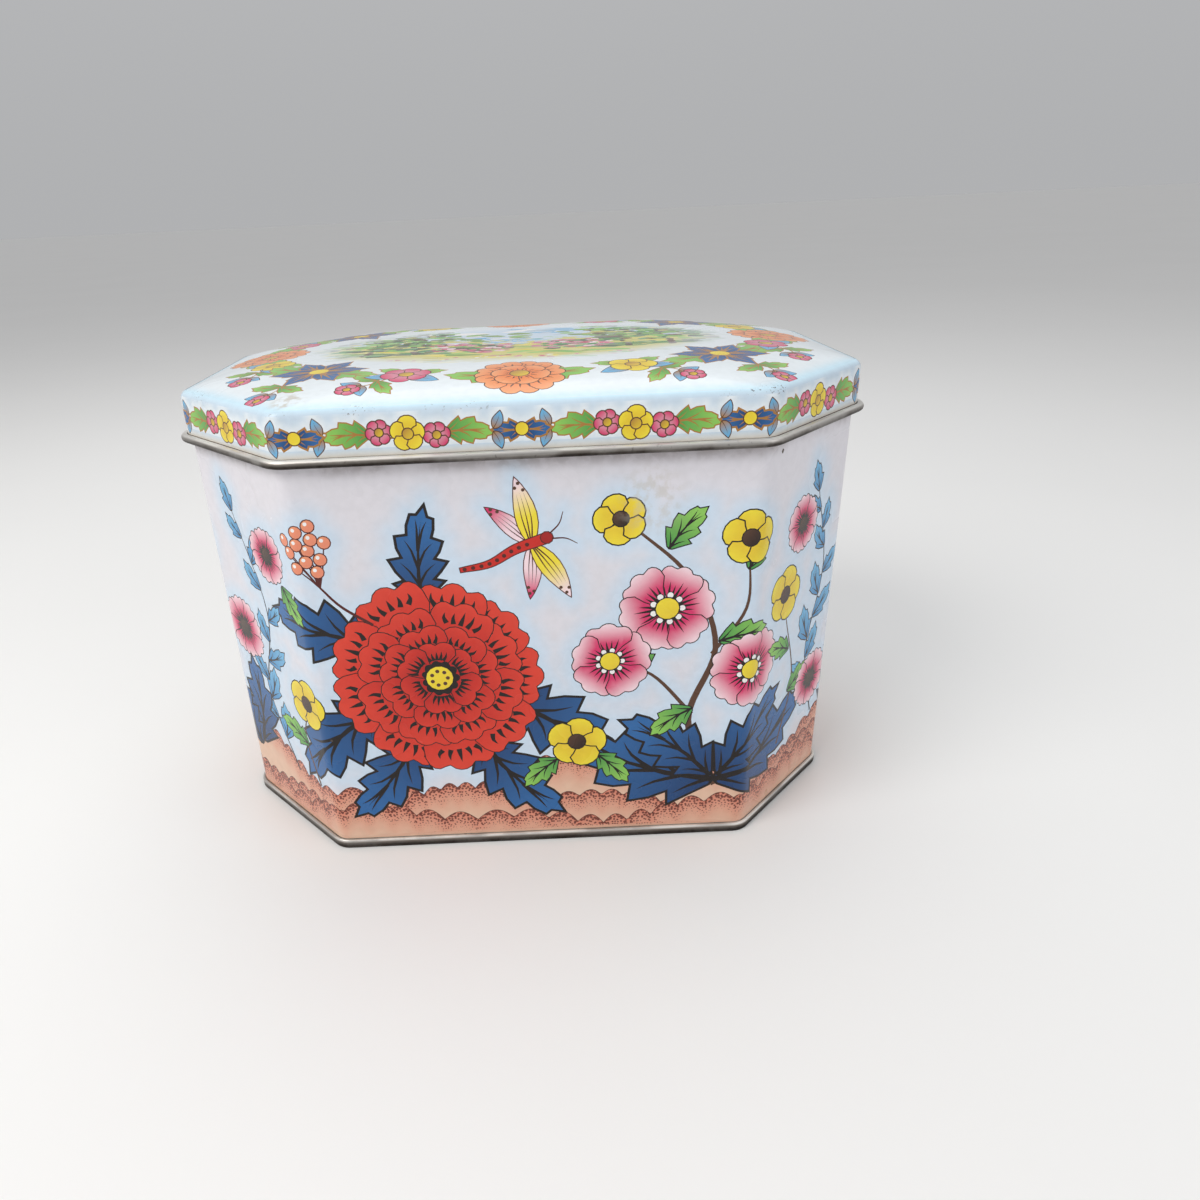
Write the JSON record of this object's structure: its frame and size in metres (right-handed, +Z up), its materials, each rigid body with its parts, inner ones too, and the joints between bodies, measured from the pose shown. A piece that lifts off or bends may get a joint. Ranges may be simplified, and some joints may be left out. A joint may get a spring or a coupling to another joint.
{
  "type": "tin box",
  "caption": "Tinplate keepsake box with cut corners, a double-seamed bottom and a domed lid with a rolled rim, hinged at the back on a wire.",
  "frame": {"origin": "middle of the standing face, on the table under the box", "axes": "+X along the length to the right seen from the front, -Y towards the front, +Z up"},
  "size_m": [0.2, 0.136, 0.1433],
  "materials": {
    "printed_tin": "gloss",
    "bare_tin": "satin",
    "steel_wire": "satin"
  },
  "bodies": {
    "box": {"front_body": "printed_tin", "rear_body": "printed_tin", "base": "bare_tin", "hinge_lug_left": "bare_tin", "hinge_lug_right": "bare_tin"},
    "lid": {"lid": "printed_tin", "hinge_wire": "steel_wire"}
  },
  "joints": [
    {"name": "lid_hinge", "type": "hinge", "parent": "box", "child": "lid", "pos_m": [0, 0.0668, 0.12527], "axis": [-1, 0, 0], "range_deg": [0, 190]}
  ]
}
